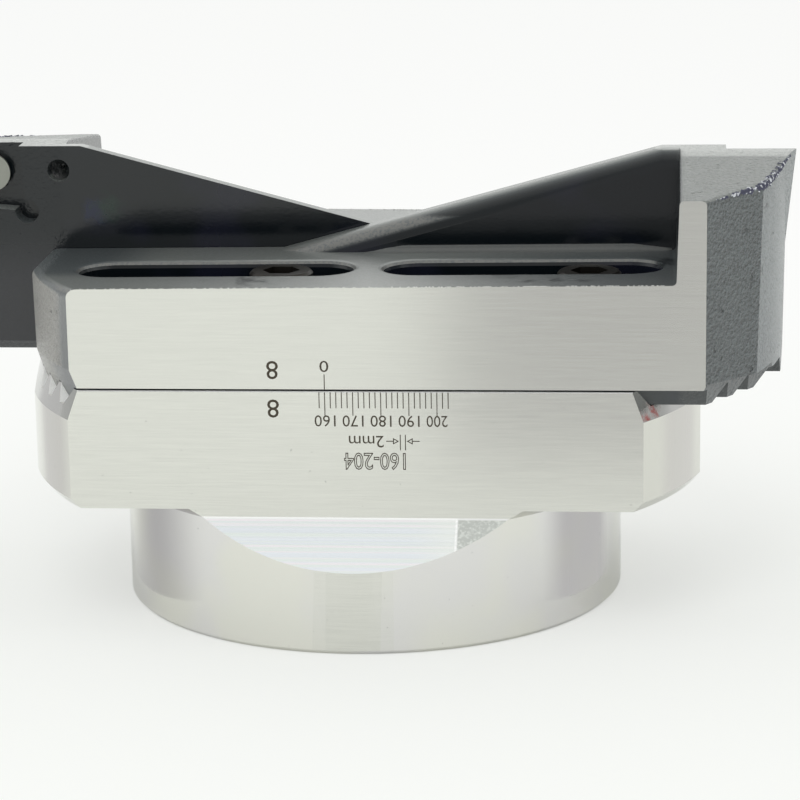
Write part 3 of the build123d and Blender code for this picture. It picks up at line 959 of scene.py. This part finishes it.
def add_line(sheet, start, end):
    """A thin bar on the front flat between two places, each an x and a z in millimetres."""
    first = Vector((start[0] * MM, -flat_y, start[1] * MM))
    last = Vector((end[0] * MM, -flat_y, end[1] * MM))
    along = (last - first).normalized()
    across = along.cross(Vector((0.0, 1.0, 0.0)))
    turn = Matrix((along, across, along.cross(across))).transposed().to_4x4()
    size = Matrix.Diagonal(((last - first).length + stroke_width, stroke_width, 2 * mark_depth, 1.0))
    bmesh.ops.create_cube(sheet, size=1.0, matrix=Matrix.Translation((first + last) / 2) @ turn @ size)


def add_word(sheet, word, middle, width, height, outlined=False):
    """A word on the front flat, upside down, fitted to a width and a height in millimetres."""
    curve = bpy.data.curves.new("word", "FONT")
    curve.body = word
    curve.resolution_u = letter_resolution
    if outlined:
        curve.fill_mode = "NONE"
        curve.bevel_depth = outline_radius
        curve.bevel_resolution = 0
    else:
        curve.extrude = letter_extrude
    holder = bpy.data.objects.new("word", curve)
    mesh = bpy.data.meshes.new_from_object(holder)
    low = Vector([min(v.co[axis] for v in mesh.vertices) for axis in range(3)])
    high = Vector([max(v.co[axis] for v in mesh.vertices) for axis in range(3)])
    for vertex in mesh.vertices:
        across, along, proud = [
            (vertex.co[axis] - low[axis]) / (high[axis] - low[axis]) - 0.5 for axis in range(3)]
        vertex.co = (
            (middle[0] - across * width) * MM,
            -flat_y - 2 * proud * mark_depth,
            (middle[1] - along * height) * MM,
        )
    sheet.from_mesh(mesh)
    bpy.data.objects.remove(holder)
    bpy.data.meshes.remove(mesh)
    bpy.data.curves.remove(curve)


def add_marks(name, body, sheet, turned):
    """Finished marks, with the points that their bars and letters share joined."""
    bmesh.ops.remove_doubles(sheet, verts=sheet.verts, dist=mark_weld)
    add_piece(name, body, sheet, laser_mark, turned)


# %% Places of the marks
# All in mm: x along the slide's travel, z up from the flange face.
scale_zero = -5.03
scale_first, scale_last, scale_step = 158, 204, 2
zero_diameter = 160
numbered_step = 10
tick_top = joint_z / MM - 0.25
short_tick, long_tick = 2.75, 4.1
number_z, number_width, number_height = 40.83, 3.76, 2.08
pair_x, pair_width, pair_height = -14.29, 2.1, 3.35
pair_on_body_z, pair_on_slide_z = 43.05, 50.1
zero_z, zero_width = 50.8, 1.6
zero_line = (49.26, 46.72)
unit_middle, unit_width, unit_height = (2.28, 37.05), 6.26, 2.14
gap_lines, gap_line_low, gap_line_high = (8.35, 9.26), 35.57, 38.27
arrow_z, arrow_half = 37.15, 0.45
arrows = ((5.9, 7.13, 7.95), (11.71, 10.48, 9.66))
range_middle, range_width, range_height = (3.75, 33.42), 11.05, 3.25
print("scale from", scale_first, "to", scale_last)

# %% Scale and zero marks
for side, pair_mark in (("front", "8"), ("rear", "4")):
    sheet = bmesh.new()
    for diameter in range(scale_first, scale_last + 1, scale_step):
        tick_x = scale_zero + (diameter - zero_diameter) / 2
        numbered = diameter % numbered_step == 0
        add_line(sheet, (tick_x, tick_top), (tick_x, tick_top - (long_tick if numbered else short_tick)))
        if numbered:
            add_word(sheet, str(diameter), (tick_x, number_z), number_width, number_height)
    add_word(sheet, "2mm", unit_middle, unit_width, unit_height)
    for gap_x in gap_lines:
        add_line(sheet, (gap_x, gap_line_low), (gap_x, gap_line_high))
    for tail, neck, tip in arrows:
        add_line(sheet, (tail, arrow_z), (neck, arrow_z))
        add_line(sheet, (neck, arrow_z - arrow_half), (neck, arrow_z + arrow_half))
        for edge in (-arrow_half, arrow_half):
            add_line(sheet, (neck, arrow_z + edge), (tip, arrow_z))
    add_word(sheet, f"{zero_diameter}-{scale_last}", range_middle, range_width, range_height, True)
    add_word(sheet, pair_mark, (pair_x, pair_on_body_z), pair_width, pair_height)
    add_marks(f"{side}_scale", "head_body", sheet, side == "rear")

    sheet = bmesh.new()
    add_line(sheet, (scale_zero, zero_line[0]), (scale_zero, zero_line[1]))
    add_word(sheet, "0", (scale_zero, zero_z), zero_width, number_height)
    add_word(sheet, pair_mark, (pair_x, pair_on_slide_z), pair_width, pair_height)
    add_marks(f"{side}_zero_mark", f"{side}_slide", sheet, side == "rear")

# %% [markdown]
# ## Flash and burrs
#
# The mould left a ragged bead of metal along the outer top edge of each tower, and grinding the front face
# rolled a fine burr over its upper edge. Both are small, but they catch the light, so they are real pieces.
# Rays cast at the slide find the edges, and a seeded random generator makes the raggedness, the same at each
# run.

# %% Rolled metal finishes
flash_dark = (0.085, 0.087, 0.128)
flash_bright = (0.72, 0.74, 0.78)
flash_dull, flash_glossy = 0.5, 0.25
burr_dark = (0.66, 0.66, 0.64)
burr_bright = (0.92, 0.92, 0.89)
burr_dull, burr_glossy = 0.45, 0.2

rolled_metal, tree, shader = new_material("rolled_metal")
sparkle = place_group(tree, nicks, Vector=own_coordinates(tree), Scale=1300.0, Rarity=0.56)["Mask"]
tree.links.new(mix_colour(tree, sparkle, flash_dark, flash_bright), shader.inputs["Base Color"])
tree.links.new(mix_value(tree, sparkle, flash_dull, flash_glossy), shader.inputs["Roughness"])
shader.inputs["Metallic"].default_value = 0.7

bright_burr, tree, shader = new_material("bright_burr")
grain = place_group(tree, mottle, Vector=own_coordinates(tree), Scale=90.0)["Grain"]
tree.links.new(mix_colour(tree, grain, burr_dark, burr_bright), shader.inputs["Base Color"])
tree.links.new(mix_value(tree, grain, burr_dull, burr_glossy), shader.inputs["Roughness"])
shader.inputs["Metallic"].default_value = 1.0
print("rolled metal", rolled_metal.name, bright_burr.name)

# %% Finding the edges
above_all = 100.0 * MM
outside_all = 120.0 * MM
inside_tower = 61.0 * MM
down = Vector((0.0, 0.0, -1.0))
inward = Vector((-1.0, 0.0, 0.0))
rearward = Vector((0.0, 1.0, 0.0))

slide_mesh = nodes["front_slide"].data
slide_rays = BVHTree.FromPolygons(
    [vertex.co for vertex in slide_mesh.vertices], [face.vertices for face in slide_mesh.polygons])


def top_under(x, y):
    """The highest point of the front slide at a place, or None beside it."""
    return slide_rays.ray_cast(Vector((x, y, above_all)), down)[0]


def tower_edge(y, sink):
    """A place just inside the tower's outer top edge, at a depth y."""
    top = top_under(inside_tower, y)
    wall = slide_rays.ray_cast(Vector((outside_all, y, top.z - sink)), inward)[0]
    return Vector((wall.x - sink / 2, y, top.z - sink))


print("tower top at", top_under(inside_tower, -flat_y / 2).z)

# %% Flash on the towers
flash_first, flash_last, flash_steps = -37.4 * MM, -6.5 * MM, 110
flash_sink = 0.55 * MM
flash_thin, flash_thick = 0.45 * MM, 0.95 * MM
flash_end = 0.3
flash_sides = 6
flash_dent, flash_bulge = 0.7, 1.2

for side in ("front", "rear"):
    chance = random.Random(5)
    sheet = bmesh.new()
    rings = []
    for step in range(flash_steps + 1):
        share = step / flash_steps
        centre = tower_edge(flash_first + share * (flash_last - flash_first), flash_sink)
        swell = flash_end + (1 - flash_end) * math.sin(math.pi * share)
        radius = swell * chance.uniform(flash_thin, flash_thick)
        ring = []
        for corner in range(flash_sides):
            turn = 2 * math.pi * corner / flash_sides
            out = radius * chance.uniform(flash_dent, flash_bulge)
            ring.append(sheet.verts.new(centre + Vector((out * math.cos(turn), 0.0, out * math.sin(turn)))))
        rings.append(ring)
    for ring, following in zip(rings, rings[1:]):
        for corner in range(flash_sides):
            after = (corner + 1) % flash_sides
            sheet.faces.new((ring[corner], following[corner], following[after], ring[after]))
    sheet.faces.new(rings[0])
    sheet.faces.new(reversed(rings[-1]))
    bmesh.ops.recalc_face_normals(sheet, faces=sheet.faces)
    add_piece(
        f"{side}_tower_flash", f"{side}_slide", sheet, rolled_metal, side == "rear")

# %% [markdown]
# ## Fillet at the rib's foot
#
# On the casting, the rib runs into the base with a small rounded foot, which shows as a lighter line. Its
# grey is partly wear and partly a painted highlight. A swept strip follows the foot: at each step one ray
# finds the base, another the rib, and a quarter of a circle joins them. It thins out towards both ends.

# %% Rib fillets
foot_first, foot_last, foot_steps = -6.0 * MM, 56.5 * MM, 60
foot_radius = 1.3 * MM
foot_taper = 6.0
foot_start_share, foot_end_share = 0.1, 0.3
foot_arc = 6
foot_probe_y = -9.5 * MM
foot_probe_rise = 2.5 * MM

# partly wear and partly painted highlight: the foot is a grey lighter than the oxide around it
worn_highlight_foot, tree, shader = new_material("worn_highlight_foot")
grain = place_group(tree, mottle, Vector=own_coordinates(tree), Scale=60.0)["Grain"]
tree.links.new(mix_colour(tree, grain, open_oxide_light, worn_highlight_oxide), shader.inputs["Base Color"])
shader.inputs["Roughness"].default_value = 0.45

for side in ("front", "rear"):
    sheet = bmesh.new()
    rows = []
    for step in range(foot_steps + 1):
        share = step / foot_steps
        x = foot_first + share * (foot_last - foot_first)
        base_z = top_under(x, foot_probe_y).z
        rib_y = slide_rays.ray_cast(Vector((x, foot_probe_y, base_z + foot_probe_rise)), rearward)[0].y
        taper = min(1.0, foot_taper * share + foot_start_share, foot_taper * (1 - share) + foot_end_share)
        radius = foot_radius * taper
        row = []
        for corner in range(foot_arc + 1):
            turn = math.pi / 2 * corner / foot_arc
            y = rib_y - radius * (1 - math.sin(turn))
            z = base_z + radius * (1 - math.cos(turn))
            row.append(sheet.verts.new((x, y, z)))
        row.append(sheet.verts.new((x, rib_y, base_z)))
        rows.append(row)
    for row, following in zip(rows, rows[1:]):
        for corner in range(foot_arc + 2):
            after = (corner + 1) % (foot_arc + 2)
            face = sheet.faces.new((row[corner], row[after], following[after], following[corner]))
            face.smooth = corner < foot_arc
    for row in (rows[0], rows[-1]):
        sheet.faces.new(row)
    bmesh.ops.recalc_face_normals(sheet, faces=sheet.faces)
    add_piece(
        f"{side}_rib_fillet", f"{side}_slide", sheet, worn_highlight_foot, side == "rear")

# %% [markdown]
# ## Burrs over the front edges
#
# The burr is a row of tiny lumps that lie over the ground edge, with a heap of them near the second slot.
# Each lump is a small faceted ball, stretched along the edge and turned by chance.

# %% Burrs
burr_count = 230
burr_first, burr_last = -50.0 * MM, 55.0 * MM
burr_small, burr_large = 0.05 * MM, 0.13 * MM
burr_stretch = 1.8
burr_inset = 0.12 * MM
heap_first, heap_last, heap_count = 30.6 * MM, 34.4 * MM, 60

for side in ("front", "rear"):
    chance = random.Random(11)
    sheet = bmesh.new()
    places = [chance.uniform(burr_first, burr_last) for step in range(burr_count)]
    places += [chance.uniform(heap_first, heap_last) for step in range(heap_count)]
    for x in places:
        edge = top_under(x, -flat_y + burr_inset)
        if edge is None:
            print("no edge under", x)
            continue
        size = chance.uniform(burr_small, burr_large)
        shift = Vector((0.0, chance.uniform(0.0, burr_inset), 0.0))
        turn = Matrix.Rotation(chance.uniform(0.0, math.pi), 4, "X")
        lump = turn @ Matrix.Diagonal((burr_stretch * size, size, size, 1.0))
        bmesh.ops.create_icosphere(
            sheet, subdivisions=1, radius=1.0, matrix=Matrix.Translation(edge + shift) @ lump)
    add_piece(
        f"{side}_edge_burrs", f"{side}_slide", sheet, bright_burr, side == "rear")
